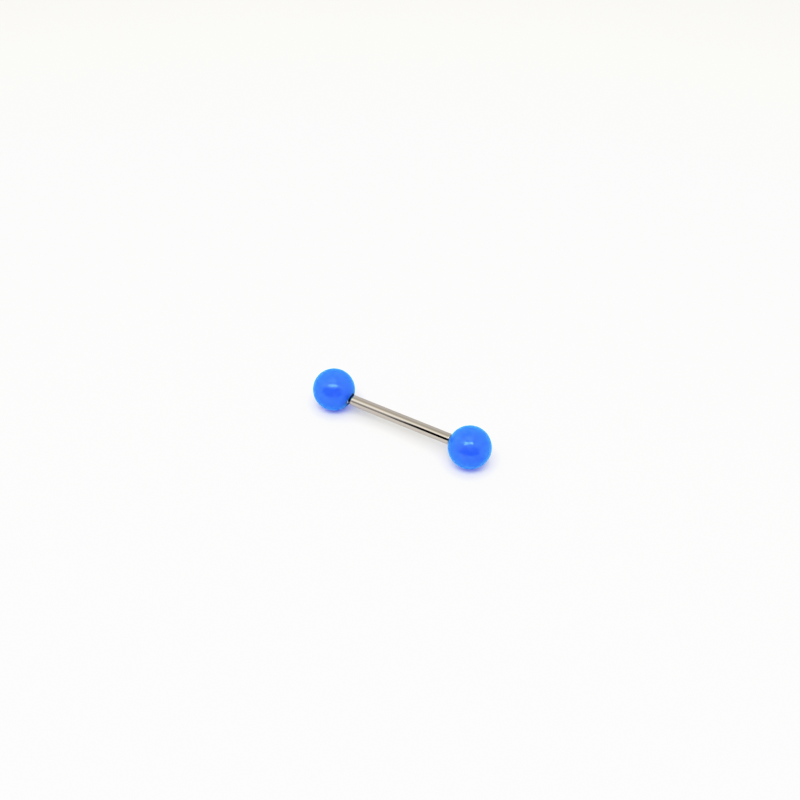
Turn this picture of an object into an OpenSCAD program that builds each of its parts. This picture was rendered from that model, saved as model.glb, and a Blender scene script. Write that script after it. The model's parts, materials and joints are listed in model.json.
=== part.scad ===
// Tongue barbell lying on a flat surface.
// A straight steel bar has a threaded post at each end, and an acrylic ball screws onto each post.
// Lengths are in millimetres. +X runs from the left ball to the right ball, and +Z is up.
// The origin is on the surface, midway between the outer ends of the two balls.

/* [Bar] */
// Diameter of the smooth shaft
shaft_d = 1.6; // [1.2:0.1:2.4]
// Length of the smooth shaft, from shoulder to shoulder
shaft_len = 16; // [10:1:28]
// Bevel on the edge of each shoulder
shoulder_bevel = 0.12; // [0.05:0.01:0.2]

/* [Threaded posts] */
// Length of each post beyond its shoulder
post_len = 3; // [2:0.1:3.6]
// Distance from one thread ridge to the next
thread_pitch = 0.35; // [0.25:0.01:0.4]
// Height of the thread ridges above their roots
thread_depth = 0.19; // [0.1:0.01:0.25]
// How far the thread ridges stay below the surface of the shaft
crest_drop = 0.05; // [0.02:0.01:0.1]
// Length of the plain neck between the shoulder and the first ridge
neck_len = 0.35; // [0.2:0.05:0.6]
// Bevel at the tip of each post
tip_bevel = 0.2; // [0.1:0.05:0.3]

/* [Balls] */
// Diameter of each ball
ball_d = 6; // [5:0.25:8]
// How far the hole of the left ball lies off the ball's centre
left_hole_off = 0.65; // [0:0.05:0.8]
// How far the hole of the right ball lies off the ball's centre
right_hole_off = 0; // [0:0.05:0.8]
// Depth of the wider mouth of each hole, from where a central hole would break the surface
mouth_depth = 0.4; // [0.1:0.05:0.6]

/* [Clearances] */
// Gap all round between the thread ridges and the wall of the hole
thread_gap = 0.03; // [0.01:0.01:0.08]
// Gap all round between the shaft and the mouth of the hole, where the shaft enters it
mouth_gap = 0.13; // [0.05:0.01:0.3]
// Gap between the tip of a post and the floor of its hole
tip_gap = 0.35; // [0.1:0.05:0.6]
// How far the left shoulder stands out from the mouth of its hole
left_shoulder_gap = 0.2; // [0.03:0.01:0.4]
// How far the right shoulder, which is screwed up tighter, stands out from the mouth of its hole
right_shoulder_gap = 0.05; // [0.03:0.01:0.4]

/* [Hidden] */
$fn = 96;
// Turn of each ball's surface round the bar's axis. It brings the seam of the surface to the top,
// so that a mesh made from the ball rests on two corners side by side and the part lies still.
seam_turn = 180;

STEEL = [0.76, 0.73, 0.68];
BLUE = [0.23, 0.5, 1];

// Radii of the bar's parts
shaft_r = shaft_d / 2;
crest_r = shaft_r - crest_drop;
root_r = crest_r - thread_depth;

// Thread ridges that fit between the neck and the bevelled tip
ridge_count = floor((post_len - neck_len - tip_bevel) / thread_pitch);
// A ridge's flat crest and the flat root beside it, with a slope on either side of the crest
ridge_flat = thread_pitch / 8;
root_flat = thread_pitch / 4;
ridge_slope = (thread_pitch - ridge_flat - root_flat) / 2;

// Radii of a ball and of its hole
ball_r = ball_d / 2;
bore_r = crest_r + thread_gap;
mouth_r = shaft_r + mouth_gap;

// Distance along the bar's axis from a ball's centre to where a central hole breaks the surface
mouth_x = sqrt(ball_r * ball_r - mouth_r * mouth_r);

// Distance along the bar's axis from the middle of the shaft to each ball's centre
left_x = shaft_len / 2 + left_shoulder_gap + mouth_x;
right_x = shaft_len / 2 + right_shoulder_gap + mouth_x;
// The same to the floor of each hole
floor_x = shaft_len / 2 + post_len + tip_gap;

// An off-centre hole lets the bar sink at that end until both balls touch the surface
lean = atan((left_hole_off - right_hole_off) / (left_x + right_x));
// Where the middle of the shaft ends up
middle_x = ((left_x - right_x) * cos(lean) + (left_hole_off + right_hole_off) * sin(lean)) / 2;
middle_z = ball_r + left_x * sin(lean) - left_hole_off * cos(lean);

// Outline of one thread ridge as [radius, distance from the middle], root first
function ridge(start) = [
    [root_r, start + root_flat],
    [crest_r, start + root_flat + ridge_slope],
    [crest_r, start + root_flat + ridge_slope + ridge_flat],
    [root_r, start + thread_pitch]
];

// Outline of the bar from the middle of its shaft to the tip of one post
function half_outline(shoulder) = concat(
    [
        [shaft_r, shoulder - shoulder_bevel],
        [shaft_r - shoulder_bevel, shoulder],
        [root_r, shoulder],
        [root_r, shoulder + neck_len]
    ],
    [for (i = [0:ridge_count - 1]) each ridge(shoulder + neck_len + i * thread_pitch)],
    [
        [root_r, shoulder + post_len - tip_bevel],
        [root_r - tip_bevel, shoulder + post_len],
        [0, shoulder + post_len]
    ]
);

// The same points for the other end, in the order that closes the outline
function other_half(points) = [for (i = [len(points) - 1:-1:0]) [points[i].x, -points[i].y]];

// Tips a piece that is modelled round a level bar until both balls touch the surface
module laid_down() {
    translate([middle_x, 0, middle_z])
        rotate([0, -lean, 0])
            children();
}

// One turned piece: smooth shaft, bevelled shoulders, necks and ringed posts
module bar() {
    outline = half_outline(shaft_len / 2);
    color(STEEL)
        laid_down()
            rotate([0, 90, 0])
                rotate_extrude()
                    polygon(concat(outline, other_half(outline)));
}

// A ball on the +X end, with a blind hole that has a wider mouth towards the shaft
module drilled_ball(centre_x, hole_off) {
    difference() {
        translate([centre_x, 0, hole_off])
            rotate([seam_turn, 0, 0])
                rotate([0, 90, 0])
                    sphere(r = ball_r);
        translate([centre_x - ball_d, 0, 0])
            rotate([0, 90, 0])
                cylinder(r = bore_r, h = ball_d - centre_x + floor_x);
        translate([centre_x - ball_d, 0, 0])
            rotate([0, 90, 0])
                cylinder(r = mouth_r, h = ball_d - mouth_x + mouth_depth);
    }
}

module ball_left() {
    color(BLUE)
        laid_down()
            mirror([1, 0, 0])
                drilled_ball(left_x, left_hole_off);
}

module ball_right() {
    color(BLUE)
        laid_down()
            drilled_ball(right_x, right_hole_off);
}

bar();
ball_left();
ball_right();
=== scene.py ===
# %% [markdown]
# # A tongue barbell, lying where it was put down
# The object is a piece of body jewellery: a straight, polished steel bar as thick as a match, with a
# short threaded post at each end, and two glossy blue acrylic balls that screw onto the posts.
# It lies on a pale surface. The left ball was drilled off its centre, so the bar sits lower in it.
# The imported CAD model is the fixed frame. It says where every piece is and how the balls come off.
# Each piece is then worked out again with numpy, with the detail that a render shows: real helical
# threads, softened edges and the small step at the mouth of each hole.

# %% Load the frame
import json
import bpy
import numpy as np
from mathutils import Matrix, Vector


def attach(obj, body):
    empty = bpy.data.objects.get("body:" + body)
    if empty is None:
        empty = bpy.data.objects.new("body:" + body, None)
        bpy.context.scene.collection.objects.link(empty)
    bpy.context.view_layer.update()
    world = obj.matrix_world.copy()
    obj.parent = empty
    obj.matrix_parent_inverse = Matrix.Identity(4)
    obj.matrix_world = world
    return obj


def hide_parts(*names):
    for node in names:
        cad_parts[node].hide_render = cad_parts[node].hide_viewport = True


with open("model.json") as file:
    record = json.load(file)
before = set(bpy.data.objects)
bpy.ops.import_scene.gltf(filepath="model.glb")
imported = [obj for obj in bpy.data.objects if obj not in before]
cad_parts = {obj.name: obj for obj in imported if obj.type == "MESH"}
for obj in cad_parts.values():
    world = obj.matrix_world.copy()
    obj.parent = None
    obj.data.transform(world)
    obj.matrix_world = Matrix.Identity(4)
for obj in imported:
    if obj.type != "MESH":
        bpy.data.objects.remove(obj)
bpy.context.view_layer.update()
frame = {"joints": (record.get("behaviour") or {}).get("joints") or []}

# %% [markdown]
# ## Where things are
# The frame's joints hold the direction of the bar's axis, because the balls slide off along it.
# A ball is a sphere that touches the floor, so its centre is one radius up and one radius in from
# the outer end of its box. The other sizes repeat the named values of the CAD source.

# %% Sizes and places
MM = 0.001
SHAFT_R, SHAFT_HALF, SHOULDER_BEVEL = 0.8 * MM, 8.0 * MM, 0.12 * MM
CREST_R, ROOT_R, PITCH = 0.75 * MM, 0.56 * MM, 0.35 * MM
POST_LEN, NECK_LEN, TIP_BEVEL = 3.0 * MM, 0.35 * MM, 0.2 * MM
BALL_R, BORE_R, MOUTH_R, MOUTH_DEPTH = 3.0 * MM, 0.78 * MM, 0.93 * MM, 0.4 * MM
TIP_GAP, GROOVE_DEPTH = 0.35 * MM, 0.07 * MM
HOLE_OFF = {"left": 0.65 * MM, "right": 0.0}
SHOULDER_GAP = {"left": 0.2 * MM, "right": 0.05 * MM}

along = np.array(next(j["axis"] for j in frame["joints"] if j["name"] == "right_ball_unscrew"), float)
along /= np.linalg.norm(along)
across = np.array([0.0, 1.0, 0.0])
upward = np.cross(along, across)
mouth_x = np.sqrt(BALL_R**2 - MOUTH_R**2)
centre = {side: SHAFT_HALF + gap + mouth_x for side, gap in SHOULDER_GAP.items()}
lean = np.arctan2(along[2], along[0])
middle = np.array([
    ((centre["left"] - centre["right"]) * np.cos(lean) + HOLE_OFF["left"] * np.sin(lean)) / 2,
    0.0,
    BALL_R + centre["left"] * np.sin(lean) - HOLE_OFF["left"] * np.cos(lean),
])
print("bar leans", round(float(np.degrees(lean)), 3), "degrees")
print("its middle is at", np.round(middle / MM, 4), "mm")

# %% [markdown]
# ## From grids to meshes
# Every new piece here is a tube of rings, closed by a point at each end. A ring is one row of a grid,
# and the grid is filled by whole arrays at once. Two short helpers turn such a grid into a mesh: one
# numbers the faces, and one checks by the signed volume that they point outwards.

# %% Mesh helpers
def closed_tube_faces(rings, around):
    """Quads between ring i and ring i + 1, wrapping round, then one fan of triangles at either end.

    The first and the last vertex of the mesh are the two end points.
    """
    i, j = np.meshgrid(np.arange(rings - 1), np.arange(around), indexing="ij")
    nxt = (j + 1) % around
    quads = 1 + np.stack([i * around + j, i * around + nxt, (i + 1) * around + nxt, (i + 1) * around + j], -1)
    k = np.arange(around)
    k2 = (k + 1) % around
    first = np.stack([np.zeros_like(k), 1 + k2, 1 + k], -1)
    base, tip = 1 + (rings - 1) * around, 1 + rings * around
    last = np.stack([base + k, base + k2, np.full_like(k, tip)], -1)
    return quads.reshape(-1, 4), first, last


def piece_from_rings(name, grid, start, end):
    """A mesh object at the origin from a grid of rings (rings, around, xyz) and its two end points.

    The signed volume is the sum of a . (b x c) / 6 over the triangles; if it is negative, every
    face is turned over.
    """
    rings, around, _ = grid.shape
    points = np.vstack([start[None], grid.reshape(-1, 3), end[None]])
    quads, first, last = closed_tube_faces(rings, around)
    tris = np.vstack([quads[:, [0, 1, 2]], quads[:, [0, 2, 3]], first, last])
    a, b, c = points[tris[:, 0]], points[tris[:, 1]], points[tris[:, 2]]
    volume = float(np.einsum("ij,ij->i", a, np.cross(b, c)).sum() / 6)
    if volume < 0:
        quads, first, last = quads[:, ::-1], first[:, ::-1], last[:, ::-1]
    mesh = bpy.data.meshes.new(name)
    mesh.from_pydata(points.tolist(), [], quads.tolist() + first.tolist() + last.tolist())
    mesh.shade_smooth()
    mesh.update()
    piece = bpy.data.objects.new(name, mesh)
    bpy.context.scene.collection.objects.link(piece)
    print(name, "faces", len(mesh.polygons), "volume", round(abs(volume) / MM**3, 2), "cubic mm")
    return piece


# %% [markdown]
# ## The bar
# The real bar is turned from wire, its posts are threaded in a die, and it is tumbled and polished,
# which softens every edge. A screw modifier or a spun profile gives only rings, so here the radius
# is a function of two numbers, the place along the axis and the angle round it. On the posts the
# place is shifted by the angle, one pitch a turn, and that makes a true helix. The thread fades out
# over half a pitch at either end, as a die leaves it.

# %% Bar outline
def rounded(points, radii, steps=5):
    """A polyline whose corners are replaced by arcs: each is the quadratic curve that starts and
    ends one radius from the corner along its two sides, with the corner as its middle point."""
    out = [points[0]]
    for before, corner, after, r in zip(points[:-2], points[1:-1], points[2:], radii, strict=True):
        to_a, to_b = before - corner, after - corner
        a = corner + to_a * min(0.45, r / np.linalg.norm(to_a))
        b = corner + to_b * min(0.45, r / np.linalg.norm(to_b))
        t = np.linspace(0, 1, steps)[:, None]
        out.extend((1 - t) ** 2 * a + 2 * t * (1 - t) * corner + t**2 * b)
    out.append(points[-1])
    return np.array(out)


shoulder = np.array([
    [SHAFT_HALF - 0.5 * MM, SHAFT_R], [SHAFT_HALF - SHOULDER_BEVEL, SHAFT_R],
    [SHAFT_HALF, SHAFT_R - SHOULDER_BEVEL], [SHAFT_HALF, ROOT_R + 0.03 * MM],
    [SHAFT_HALF + 0.08 * MM, ROOT_R], [SHAFT_HALF + NECK_LEN, ROOT_R],
])
shoulder = rounded(shoulder, [0.06 * MM, 0.04 * MM, 0.03 * MM, 0.05 * MM])
SHAFT_RINGS, THREAD_RINGS = 24, 92
thread_from, thread_to = SHAFT_HALF + NECK_LEN, SHAFT_HALF + POST_LEN - TIP_BEVEL
threaded = np.linspace(thread_from, thread_to, THREAD_RINGS)[1:]
tip = rounded(np.array([
    [thread_to, ROOT_R], [SHAFT_HALF + POST_LEN, ROOT_R - TIP_BEVEL], [SHAFT_HALF + POST_LEN, 0.02 * MM],
]), [0.05 * MM])
shaft_x, shaft_r = np.linspace(0, SHAFT_HALF - 0.6 * MM, SHAFT_RINGS), np.full(SHAFT_RINGS, SHAFT_R)
half_x = np.concatenate([shaft_x, shoulder[:, 0], threaded, tip[1:, 0]])
half_r = np.concatenate([shaft_r, shoulder[:, 1], np.full(len(threaded), ROOT_R), tip[1:, 1]])
print("half outline", len(half_x), "rings, tip at", round(half_x[-1] / MM, 3), "mm")


# %% Bar surface
def smooth(x, low, high):
    """0 below low, 1 above high, and 3t^2 - 2t^3 between them."""
    t = np.clip((x - low) / (high - low), 0, 1)
    return t * t * (3 - 2 * t)


def ridge_height(phase):
    """Height of a thread ridge, 0 to 1, by its place within one pitch: a trapezium with a flat
    crest of an eighth, a flat root of a quarter and softened corners."""
    d = np.abs((phase % 1.0) - 0.5)
    return 1 - smooth(d, 0.05, 0.385)


def bar_grid(around=112):
    """Rings (place x, angle a): radius r(x, a) = outline(x) + ridge((x - start) / pitch - a / turn)
    times the thread's height, where the thread is present. Both halves share one helix."""
    x = np.concatenate([-half_x[:0:-1], half_x])
    r = np.concatenate([half_r[:0:-1], half_r])
    a = np.linspace(0, 2 * np.pi, around, endpoint=False)
    xx, aa = np.meshgrid(x, a, indexing="ij")
    depth = np.abs(xx)
    present = smooth(depth, thread_from, thread_from + 0.5 * PITCH) * (
        1 - smooth(depth, thread_to - 0.6 * PITCH, thread_to))
    ridges = ridge_height((xx - SHAFT_HALF) / PITCH - aa / (2 * np.pi))
    rr = r[:, None] + (CREST_R - ROOT_R) * present * ridges
    spin = np.cos(aa)[..., None] * across + np.sin(aa)[..., None] * upward
    return middle + xx[..., None] * along + rr[..., None] * spin


tip_at = (SHAFT_HALF + POST_LEN) * along
bar = piece_from_rings("steel_bar", bar_grid(), middle - tip_at, middle + tip_at)
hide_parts("bar")
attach(bar, "bar")

# %% [markdown]
# ## The balls
# A ball is moulded or turned from clear-blue tinted acrylic, polished, then drilled, stepped at the
# mouth and tapped. Cutting a hole into a sphere with a Boolean leaves long thin faces that shade
# badly on such a glossy thing. So one skin runs all the way: from the point at the far side, over
# the outside along great circles to the lip, round the lip, down the step, along the tapped wall
# and to the floor of the hole. The hole's rings are round the bar's axis, which passes 0.65 mm below
# the centre of the left ball.

# %% Ball surface
def ball_grid(side, around=128):
    """Rings from the far point of the sphere to the floor of the hole.

    Local axes: x outwards along the bar, y across, z up, with the hole's axis as the x axis and the
    ball's middle at (centre_x, 0, off). On the lip, a ring of radius q has x = centre_x minus the
    root of R^2 - y^2 - (z - off)^2. The outside is the great circle from the lip's point to the far
    point: (sin((1 - t) w) * lip + sin(t w) * far) / sin(w), where w is the angle between them. The
    softened lip is a quadratic curve round the sharp corner. The tapped wall has a groove of one
    pitch a turn, cut outwards from the bore.
    """
    off, centre_x = HOLE_OFF[side], centre[side]
    a = np.linspace(0, 2 * np.pi, around, endpoint=False)
    dy, dz = np.cos(a), np.sin(a)
    soft = 0.05 * MM

    def on_sphere(q):
        y, z = q * dy, q * dz
        return np.stack([centre_x - np.sqrt(BALL_R**2 - y**2 - (z - off) ** 2), y, z], -1)

    ball_middle = np.array([centre_x, 0.0, off])
    rim, corner = on_sphere(MOUTH_R + soft), on_sphere(MOUTH_R)
    lip = (rim - ball_middle) / BALL_R
    far = -lip.mean(0) / np.linalg.norm(lip.mean(0))
    w = np.arccos(np.clip(lip @ far, -1, 1))[None, :, None]
    t = (1 - np.linspace(0, 1, 72)[1:] ** 1.12)[:, None, None]
    outside = (np.sin(w * t) * far + np.sin(w * (1 - t)) * lip) / np.sin(w)
    outside = ball_middle + BALL_R * outside
    wall = corner + soft * np.array([1.0, 0, 0])
    k = np.linspace(0, 1, 7)[1:, None, None]
    edge = (1 - k) ** 2 * rim + 2 * k * (1 - k) * corner + k**2 * wall

    step_x = centre_x - mouth_x + MOUTH_DEPTH
    floor_x = SHAFT_HALF + POST_LEN + TIP_GAP
    to_step = (wall[:, 0] + (step_x - 0.03 * MM - wall[:, 0]) * np.linspace(0, 1, 6)[1:, None])
    step_wall = np.stack([to_step, *np.broadcast_arrays(MOUTH_R * dy, MOUTH_R * dz, to_step)[:2]], -1)
    step = rounded(np.array([
        [step_x - 0.03 * MM, MOUTH_R], [step_x, MOUTH_R], [step_x, BORE_R], [step_x + 0.05 * MM, BORE_R],
    ]), [0.03 * MM, 0.03 * MM])[1:]
    bore_x = np.linspace(step_x + 0.05 * MM, floor_x - 0.03 * MM, 100)[1:]
    bottom = rounded(np.array([
        [floor_x - 0.03 * MM, BORE_R], [floor_x, BORE_R], [floor_x, 0.02 * MM],
    ]), [0.03 * MM])[1:]
    x = np.concatenate([step[:, 0], bore_x, bottom[:, 0]])[:, None]
    r = np.concatenate([step[:, 1], np.full(len(bore_x), BORE_R), bottom[:, 1]])[:, None]
    tapped = smooth(x, step_x + 0.05 * MM, step_x + 0.2 * MM) * (
        1 - smooth(x, floor_x - 0.5 * MM, floor_x - 0.3 * MM))
    groove = ridge_height((x - SHAFT_HALF) / PITCH - a / (2 * np.pi))
    r = r + GROOVE_DEPTH * tapped * groove
    hole = np.stack(np.broadcast_arrays(x, r * dy, r * dz), -1)
    grid = np.concatenate([outside, edge, step_wall, hole])
    rows_outside = len(outside) + len(edge) // 2
    return grid, ball_middle + BALL_R * far, np.array([floor_x, 0.0, 0.0]), rows_outside


def placed(points, side):
    """Local points on the left side are mirrored in x, and all are turned onto the leaning axis."""
    flip = -1.0 if side == "left" else 1.0
    x, y, z = points[..., 0:1] * flip, points[..., 1:2], points[..., 2:3]
    return middle + x * along + y * across + z * upward


balls = {}
for side in ("left", "right"):
    grid, far_point, floor_point, rows_outside = ball_grid(side)
    skin, start, end = (placed(points, side) for points in (grid, far_point, floor_point))
    ball = piece_from_rings(f"acrylic_ball_{side}", skin, start, end)
    around = grid.shape[1]
    row = np.arange((grid.shape[0] - 1) * around) // around
    in_hole = np.concatenate([row >= rows_outside, np.zeros(around, bool), np.ones(around, bool)])
    ball.data.polygons.foreach_set("material_index", in_hole.astype(np.int32))
    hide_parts(f"ball_{side}")
    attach(ball, f"{side}_ball")
    balls[side] = ball
    print(side, "ball spans", np.round(np.array(ball.bound_box)[[0, 6]] / MM, 3).tolist())


# %% [markdown]
# ## Materials
# The steel is polished but not a perfect mirror: wheel and paste leave fine lines round the bar, and
# handling leaves faint dull patches. Patterns read Object coordinates, turned with the bar, so they
# stay on the piece. Small helpers keep the node code short.
#
# The acrylic is coloured all through, so light wanders inside it before it comes out blue. A clear
# layer over it is tinted blue, which takes the red out of what passes through at a slant. Near the
# mouth of each hole the blue is painted darker: painted shade that stands in for the bar's shadow
# and the dark hole behind the surface.

# %% Node helpers
def new_material(name):
    """An empty node material with its shader, and the function that adds a node to it."""
    material = bpy.data.materials.new(name)
    material.use_nodes = True
    tree = material.node_tree
    shader = tree.nodes["Principled BSDF"]

    def add(kind, **values):
        node = tree.nodes.new(kind)
        for key, value in values.items():
            setattr(node, key, value)
        return node

    return material, tree, shader, add


def object_pattern(tree, add, scale, turn=(0, 0, 0), detail=3.0, rough=0.5):
    """Noise over Object coordinates, stretched by scale (cycles per metre on each axis)."""
    place = add("ShaderNodeTexCoord")
    mapping = add("ShaderNodeMapping")
    mapping.inputs["Rotation"].default_value = turn
    mapping.inputs["Scale"].default_value = scale
    noise = add("ShaderNodeTexNoise")
    noise.inputs["Scale"].default_value = 1.0
    noise.inputs["Detail"].default_value = detail
    noise.inputs["Roughness"].default_value = rough
    tree.links.new(place.outputs["Object"], mapping.inputs["Vector"])
    tree.links.new(mapping.outputs["Vector"], noise.inputs["Vector"])
    return noise.outputs["Fac"]


def ranged(tree, add, value, low, high, span=(0.3, 0.7)):
    """Maps the noise's usual span onto low to high."""
    node = add("ShaderNodeMapRange")
    node.inputs["From Min"].default_value, node.inputs["From Max"].default_value = span
    node.inputs["To Min"].default_value, node.inputs["To Max"].default_value = low, high
    tree.links.new(value, node.inputs["Value"])
    return node.outputs["Result"]


# %% Polished steel
steel, tree, shader, add = new_material("polished_steel")
turn = (0.0, float(lean), 0.0)
lines = object_pattern(tree, add, (26000, 500, 500), turn, 2.0)
patches = object_pattern(tree, add, (420, 700, 700), turn, 4.0)
waves = object_pattern(tree, add, (330, 210, 210), turn, 1.0)
tint = add("ShaderNodeMix", data_type="RGBA")
tint.inputs["A"].default_value = (0.475, 0.437, 0.402, 1)
tint.inputs["B"].default_value = (0.45, 0.413, 0.38, 1)
tree.links.new(patches, tint.inputs["Factor"])
tree.links.new(tint.outputs["Result"], shader.inputs["Base Color"])
tree.links.new(ranged(tree, add, patches, 0.02, 0.04), shader.inputs["Roughness"])
shader.inputs["Metallic"].default_value = 1.0
shader.inputs["Specular Tint"].default_value = (0.78, 0.78, 0.76, 1)
fine = add("ShaderNodeBump")
fine.inputs["Strength"].default_value = 0.25
fine.inputs["Distance"].default_value = 1e-7
broad = add("ShaderNodeBump")
broad.inputs["Strength"].default_value = 1.0
broad.inputs["Distance"].default_value = 2e-6
tree.links.new(lines, fine.inputs["Height"])
tree.links.new(waves, broad.inputs["Height"])
tree.links.new(broad.outputs["Normal"], fine.inputs["Normal"])
tree.links.new(fine.outputs["Normal"], shader.inputs["Normal"])
bar.data.materials.append(steel)
print("steel has", len(tree.nodes), "nodes")

# %% Blue acrylic
acrylic, tree, shader, add = new_material("blue_acrylic")
cloud = object_pattern(tree, add, (260, 260, 260), (0, 0, 0), 3.0)
marks = object_pattern(tree, add, (2600, 900, 1700), (0.4, 0.2, 0.9), 5.0, 0.6)
tint = add("ShaderNodeMix", data_type="RGBA")
tint.inputs["A"].default_value = (0.063, 0.116, 0.93, 1)
tint.inputs["B"].default_value = (0.071, 0.127, 0.98, 1)
tree.links.new(cloud, tint.inputs["Factor"])
# Painted shade: the blue is darkened within 0.8 to 2.4 mm of each hole's mouth. It stands in for the bar's
# shadow and the dark hole behind the surface.
spot = add("ShaderNodeTexCoord")
near = []
for side, sign in (("left", -1.0), ("right", 1.0)):
    distance = add("ShaderNodeVectorMath", operation="DISTANCE")
    tree.links.new(spot.outputs["Object"], distance.inputs[0])
    distance.inputs[1].default_value = middle + sign * (centre[side] - mouth_x) * along
    near.append(distance.outputs["Value"])
nearest = add("ShaderNodeMath", operation="MINIMUM")
for value, socket in zip(near, nearest.inputs[:2], strict=True):
    tree.links.new(value, socket)
mouth_painted_shade = add("ShaderNodeMix", data_type="RGBA", blend_type="MULTIPLY")
mouth_shade_mask = ranged(tree, add, nearest.outputs[0], 1.0, 0.0, (0.8 * MM, 2.4 * MM))
tree.links.new(mouth_shade_mask, mouth_painted_shade.inputs["Factor"])
tree.links.new(tint.outputs["Result"], mouth_painted_shade.inputs["A"])
mouth_painted_shade.inputs["B"].default_value = (0.55, 0.57, 0.6, 1)
tree.links.new(mouth_painted_shade.outputs["Result"], shader.inputs["Base Color"])
tree.links.new(ranged(tree, add, marks, 0.05, 0.068), shader.inputs["Roughness"])
shader.inputs["IOR"].default_value = 1.45
shader.inputs["Specular IOR Level"].default_value = 0.74
shader.inputs["Specular Tint"].default_value = (0.8, 1.0, 1.0, 1)
shader.inputs["Coat Weight"].default_value = 1.0
shader.inputs["Coat Roughness"].default_value = 0.05
shader.inputs["Coat IOR"].default_value = 1.05
shader.inputs["Coat Tint"].default_value = (0.48, 1.0, 1.0, 1)
shader.inputs["Subsurface Weight"].default_value = 1.0
shader.inputs["Subsurface Radius"].default_value = (0.15, 0.35, 1.0)
shader.inputs["Subsurface Scale"].default_value = 3.0 * MM
scuff = add("ShaderNodeBump")
scuff.inputs["Strength"].default_value = 0.12
scuff.inputs["Distance"].default_value = 1e-7
tree.links.new(marks, scuff.inputs["Height"])
tree.links.new(scuff.outputs["Normal"], shader.inputs["Normal"])

# %% Drilled acrylic, painted dark
drilled, tree, shader, add = new_material("hole_wall_painted_shade")
chatter = object_pattern(tree, add, (9000, 2500, 2500), (0.0, float(lean), 0.0), 3.0)
# Painted shade: the hole's walls get a near-black blue that stands in for the deep shadow inside the hole;
# the chatter marks are real.
tint = add("ShaderNodeMix", data_type="RGBA")
tint.inputs["A"].default_value = (0.001, 0.006, 0.09, 1)
tint.inputs["B"].default_value = (0.002, 0.01, 0.16, 1)
tree.links.new(chatter, tint.inputs["Factor"])
tree.links.new(tint.outputs["Result"], shader.inputs["Base Color"])
tree.links.new(ranged(tree, add, chatter, 0.4, 0.6), shader.inputs["Roughness"])
chips = add("ShaderNodeBump")
chips.inputs["Strength"].default_value = 0.5
chips.inputs["Distance"].default_value = 3e-6
tree.links.new(chatter, chips.inputs["Height"])
tree.links.new(chips.outputs["Normal"], shader.inputs["Normal"])
for ball in balls.values():
    ball.data.materials.append(acrylic)
    ball.data.materials.append(drilled)

# %% [markdown]
# ## Floor
# The barbell was laid on a plain pale surface. A wide matte sheet that isn't part of the object
# takes the shadows and the blue glow under the balls, and the bar mirrors it. The lamp over the
# barbell lights the sheet less further out, so its colour is painted lighter from 16 cm to 42 cm:
# painted light that makes up for the lamp's fall-off. Seen from low down, the sheet then stays
# nearly even up to the horizon.

# %% Pale surface
surface, tree, shader, add = new_material("pale_surface")
fibre = object_pattern(tree, add, (900, 900, 900), (0, 0, 0), 6.0)
tint = add("ShaderNodeMix", data_type="RGBA")
tint.inputs["A"].default_value = (0.785, 0.785, 0.78, 1)
tint.inputs["B"].default_value = (0.795, 0.795, 0.79, 1)
tree.links.new(fibre, tint.inputs["Factor"])
spot = add("ShaderNodeTexCoord")
distance = add("ShaderNodeVectorMath", operation="LENGTH")
tree.links.new(spot.outputs["Object"], distance.inputs[0])
# Painted light: the sheet's colour is raised towards white from 16 cm to 42 cm out, where the lamp's light
# falls off.
painted_light_toward_white = add("ShaderNodeMix", data_type="RGBA")
painted_light_by_distance = ranged(tree, add, distance.outputs["Value"], 0.0, 1.0, (160 * MM, 420 * MM))
tree.links.new(painted_light_by_distance, painted_light_toward_white.inputs["Factor"])
tree.links.new(tint.outputs["Result"], painted_light_toward_white.inputs["A"])
painted_light_toward_white.inputs["B"].default_value = (0.97, 0.97, 0.985, 1)
tree.links.new(painted_light_toward_white.outputs["Result"], shader.inputs["Base Color"])
shader.inputs["Roughness"].default_value = 0.6
shader.inputs["Specular IOR Level"].default_value = 0.0
floor_mesh = bpy.data.meshes.new("pale_floor")
reach = 3000 * MM
corners = [(-reach, -reach, 0), (reach, -reach, 0), (reach, reach, 0), (-reach, reach, 0)]
floor_mesh.from_pydata(corners, [], [(0, 1, 2, 3)])
floor_mesh.materials.append(surface)
floor = bpy.data.objects.new("pale_floor", floor_mesh)
bpy.context.scene.collection.objects.link(floor)
print("floor is", 2 * reach, "m wide")

# %% [markdown]
# ## Light
# Small jewellery is photographed in a light tent, because polished metal shows only what is around
# it. The tent is the world's own light, a function of direction. Its walls are pale, a little
# dimmer at the back and dimming towards 64 degrees of height. The very top is bright, and so is a
# round patch high on the left, and the light from above is slightly warmer. In front is the dark
# opening that the picture is taken through, with a dim border. The bar mirrors it as one dark line.
# A lamp for each wall would show its edges in the bar. The camera itself sees one plain pale wall.

# %% Light tent
world = bpy.data.worlds.new("light_tent")
bpy.context.scene.world = world
world.use_nodes = True
sky = world.node_tree
sky.nodes.clear()


def sky_math(operation, a, b=None, c=None):
    """One Math node; a number goes onto its socket and anything else is linked."""
    node = sky.nodes.new("ShaderNodeMath")
    node.operation = operation
    for socket, value in zip(node.inputs, (a, b, c)):
        if value is None:
            continue
        if isinstance(value, (int, float)):
            socket.default_value = value
        else:
            sky.links.new(value, socket)
    return node.outputs[0]


def fade(value, start, end, low=0.0, high=1.0):
    """A smooth step: low before start and high after end."""
    node = sky.nodes.new("ShaderNodeMapRange")
    node.interpolation_type = "SMOOTHSTEP"
    for name, number in zip(("From Min", "From Max", "To Min", "To Max"), (start, end, low, high)):
        node.inputs[name].default_value = number
    sky.links.new(value, node.inputs["Value"])
    return node.outputs[0]


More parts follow.
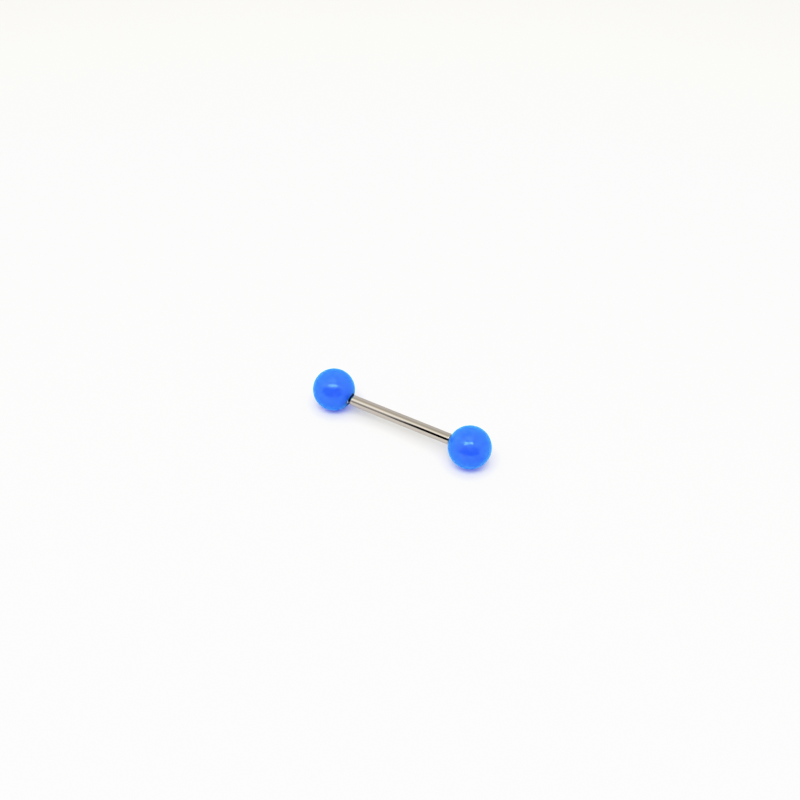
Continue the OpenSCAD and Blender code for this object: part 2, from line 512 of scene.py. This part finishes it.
def glow(middle_azimuth, middle_height, inner, outer, strength):
    """A round patch of light: full within inner degrees of its middle and gone at outer."""
    a, h = np.radians(middle_azimuth), np.radians(middle_height)
    axis = (np.sin(a) * np.cos(h), -np.cos(a) * np.cos(h), np.sin(h))
    node = sky.nodes.new("ShaderNodeVectorMath")
    node.operation = "DOT_PRODUCT"
    sky.links.new(direction.outputs["Generated"], node.inputs[0])
    node.inputs[1].default_value = axis
    return fade(node.outputs["Value"], np.cos(np.radians(outer)), np.cos(np.radians(inner)), 0.0, strength)


direction = sky.nodes.new("ShaderNodeTexCoord")
parts = sky.nodes.new("ShaderNodeSeparateXYZ")
sky.links.new(direction.outputs["Generated"], parts.inputs[0])
west_east, front = parts.outputs["X"], sky_math("MULTIPLY", parts.outputs["Y"], -1.0)
azimuth = sky_math("DEGREES", sky_math("ARCTAN2", west_east, front))
height = sky_math("DEGREES", sky_math("ARCSINE", parts.outputs["Z"]))

in_front = fade(front, 0.0, 0.1)
low = fade(height, 39.5, 42.5, 1.0, 0.0)
opening = sky_math("MULTIPLY", fade(west_east, -0.414, -0.39), fade(azimuth, 74.0, 82.0, 1.0, 0.0))
opening = sky_math("MULTIPLY", opening, low)
opening = sky_math("MULTIPLY", opening, in_front)
edge = sky_math("MULTIPLY", fade(west_east, -0.6, -0.42), fade(height, 22.0, 46.0, 1.0, 0.0))
edge = sky_math("MULTIPLY", edge, sky_math("MULTIPLY", in_front, fade(azimuth, 74.0, 90.0, 1.0, 0.0)))
walls = fade(height, 40.0, 64.0, 1.2, 0.86)
walls = sky_math("MULTIPLY", walls, fade(front, -0.6, 0.0, 0.87, 1.0))
walls = sky_math("ADD", walls, fade(height, 68.0, 82.0, 0.0, 1.25))
walls = sky_math("ADD", walls, glow(-40.0, 51.0, 4.0, 26.0, 0.75))
EDGE_DIMMING, OPENING_DIMMING = 0.57, 0.993
walls = sky_math("MULTIPLY", walls, sky_math("SUBTRACT", 1.0, sky_math("MULTIPLY", edge, EDGE_DIMMING)))
lit = sky_math("MULTIPLY", walls, sky_math("SUBTRACT", 1.0, sky_math("MULTIPLY", opening, OPENING_DIMMING)))

tent, plain, mixed = (sky.nodes.new(f"ShaderNode{k}") for k in ("Background", "Background", "MixShader"))
warmth = sky.nodes.new("ShaderNodeMix")
warmth.data_type = "RGBA"
sky.links.new(fade(height, 40.0, 56.0), warmth.inputs["Factor"])
warmth.inputs["A"].default_value = (1.0, 1.0, 0.985, 1)
warmth.inputs["B"].default_value = (1.0, 0.97, 0.86, 1)
sky.links.new(warmth.outputs["Result"], tent.inputs["Color"])
sky.links.new(lit, tent.inputs["Strength"])
plain.inputs["Color"].default_value = (1.0, 1.0, 0.985, 1)
plain.inputs["Strength"].default_value = 1.2
seen = sky.nodes.new("ShaderNodeLightPath")
output = sky.nodes.new("ShaderNodeOutputWorld")
sky.links.new(seen.outputs["Is Camera Ray"], mixed.inputs[0])
sky.links.new(tent.outputs[0], mixed.inputs[1])
sky.links.new(plain.outputs[0], mixed.inputs[2])
sky.links.new(mixed.outputs[0], output.inputs["Surface"])
print("light tent made of", len(sky.nodes), "nodes")

# %% [markdown]
# ## Lamps and exposure
# The oblong highlight on each ball is a lit panel that lies on top of the tent, level and square to
# the camera. An area lamp of the panel's size and height gives the same oblong, a little shifted
# between the two balls, as a near lamp does. A soft fill above the barbell brings the surface up to
# the photograph's white and keeps the shadows light.
#
# Light that goes through the acrylic makes a blue glow on the surface. The renderer carries none to
# a matte surface, so a lamp under it, without shadows, lights only the balls: their lower sides shine
# blue-green onto the surface in its place.
#
# The photograph is overexposed, so the view's curve runs into white in a soft shoulder.

# %% Soft panel
AZIMUTH, ELEVATION, DISTANCE = np.radians(31.34), np.radians(43.68), 179.67 * MM
straight_up = np.array([0.0, 0.0, 1.0])
right = np.array([np.cos(AZIMUTH), np.sin(AZIMUTH), 0.0])
forward = np.array([np.sin(AZIMUTH), -np.cos(AZIMUTH), 0.0])
panel_height, panel_radiance = 250 * MM, 6.6
panel_size = panel_height * np.array([0.9, 0.28])
lamp = bpy.data.lights.new("soft_panel", "AREA")
lamp.shape = "RECTANGLE"
lamp.size, lamp.size_y = (float(v) for v in panel_size)
lamp.energy = float(panel_radiance * np.pi * np.prod(panel_size))
panel = bpy.data.objects.new("soft_panel", lamp)
panel.location = panel_height * (-0.12 * right + 0.48 * forward + straight_up)
panel.rotation_euler = (0.0, 0.0, AZIMUTH)
panel.visible_camera = False
bpy.context.scene.collection.objects.link(panel)
print("panel", np.round(panel_size / MM), "mm,", round(lamp.energy, 3), "W")


# %% Fill and glow
def soft_fill(name, size, power, colour, place):
    """A square lamp that faces the origin and shows neither to the camera nor in a reflection."""
    data = bpy.data.lights.new(name, "AREA")
    data.shape, data.size, data.energy, data.color = "SQUARE", size, power, colour
    fill = bpy.data.objects.new(name, data)
    fill.location = place
    fill.rotation_euler = Vector(place).to_track_quat("Z", "Y").to_euler()
    fill.visible_camera = False
    fill.visible_glossy = False
    bpy.context.scene.collection.objects.link(fill)
    return fill


FILL_HEIGHT = 300 * MM
fill_place = FILL_HEIGHT * straight_up + 60 * MM * forward
soft_fill("top_fill", 420 * MM, 0.56, (1.0, 1.0, 1.0), fill_place)
glow_lamp = soft_fill("acrylic_glow", 300 * MM, 0.7, (0.0, 0.8, 1.0), -FILL_HEIGHT * straight_up)
glow_lamp.data.use_shadow = False
glowing = bpy.data.collections.new("acrylic_glow")
for ball in balls.values():
    glowing.objects.link(ball)
glow_lamp.light_linking.receiver_collection = glowing

# %% Exposure
view = bpy.context.scene.view_settings
view.view_transform = "Standard"
view.use_curve_mapping = True
curves = view.curve_mapping
curves.white_level = (2.0, 2.0, 2.0)
shoulder_points = curves.curves[3].points
shoulder_points[0].location, shoulder_points[1].location = (0.0, 0.0), (1.0, 0.98)
for place in ((0.4, 0.8), (0.47, 0.872), (0.51, 0.912), (0.535, 0.94), (0.56, 0.966), (0.66, 0.978)):
    shoulder_points.new(*place)
for point in shoulder_points:
    point.handle_type = "VECTOR"
curves.update()
print("exposure curve has", len(shoulder_points), "points")

# %% [markdown]
# ## Camera
# The photograph was taken from above and to the right, at arm's length for such a small thing, with
# a moderate lens: the near ball is only a little larger than the far one. The distance, direction
# and lens were worked out from the sizes and places of the two balls.

# %% Camera
toward = np.cos(ELEVATION) * forward + np.sin(ELEVATION) * straight_up
up = np.cross(toward, right)
AIM_RIGHT, AIM_UP = -0.049 * MM, 2.426 * MM
target = BALL_R * straight_up + AIM_RIGHT * right + AIM_UP * up
lens = bpy.data.cameras.new("camera")
lens.lens, lens.sensor_width, lens.sensor_fit = 58.5, 36.0, "HORIZONTAL"
lens.clip_start, lens.clip_end = 0.005, 20.0
camera = bpy.data.objects.new("camera", lens)
camera.matrix_world = Matrix(np.vstack([
    np.column_stack([right, up, toward, target + DISTANCE * toward]), [0, 0, 0, 1]]).tolist())
bpy.context.scene.collection.objects.link(camera)
bpy.context.scene.camera = camera
print("camera", np.round((target + DISTANCE * toward) / MM, 2), "mm")
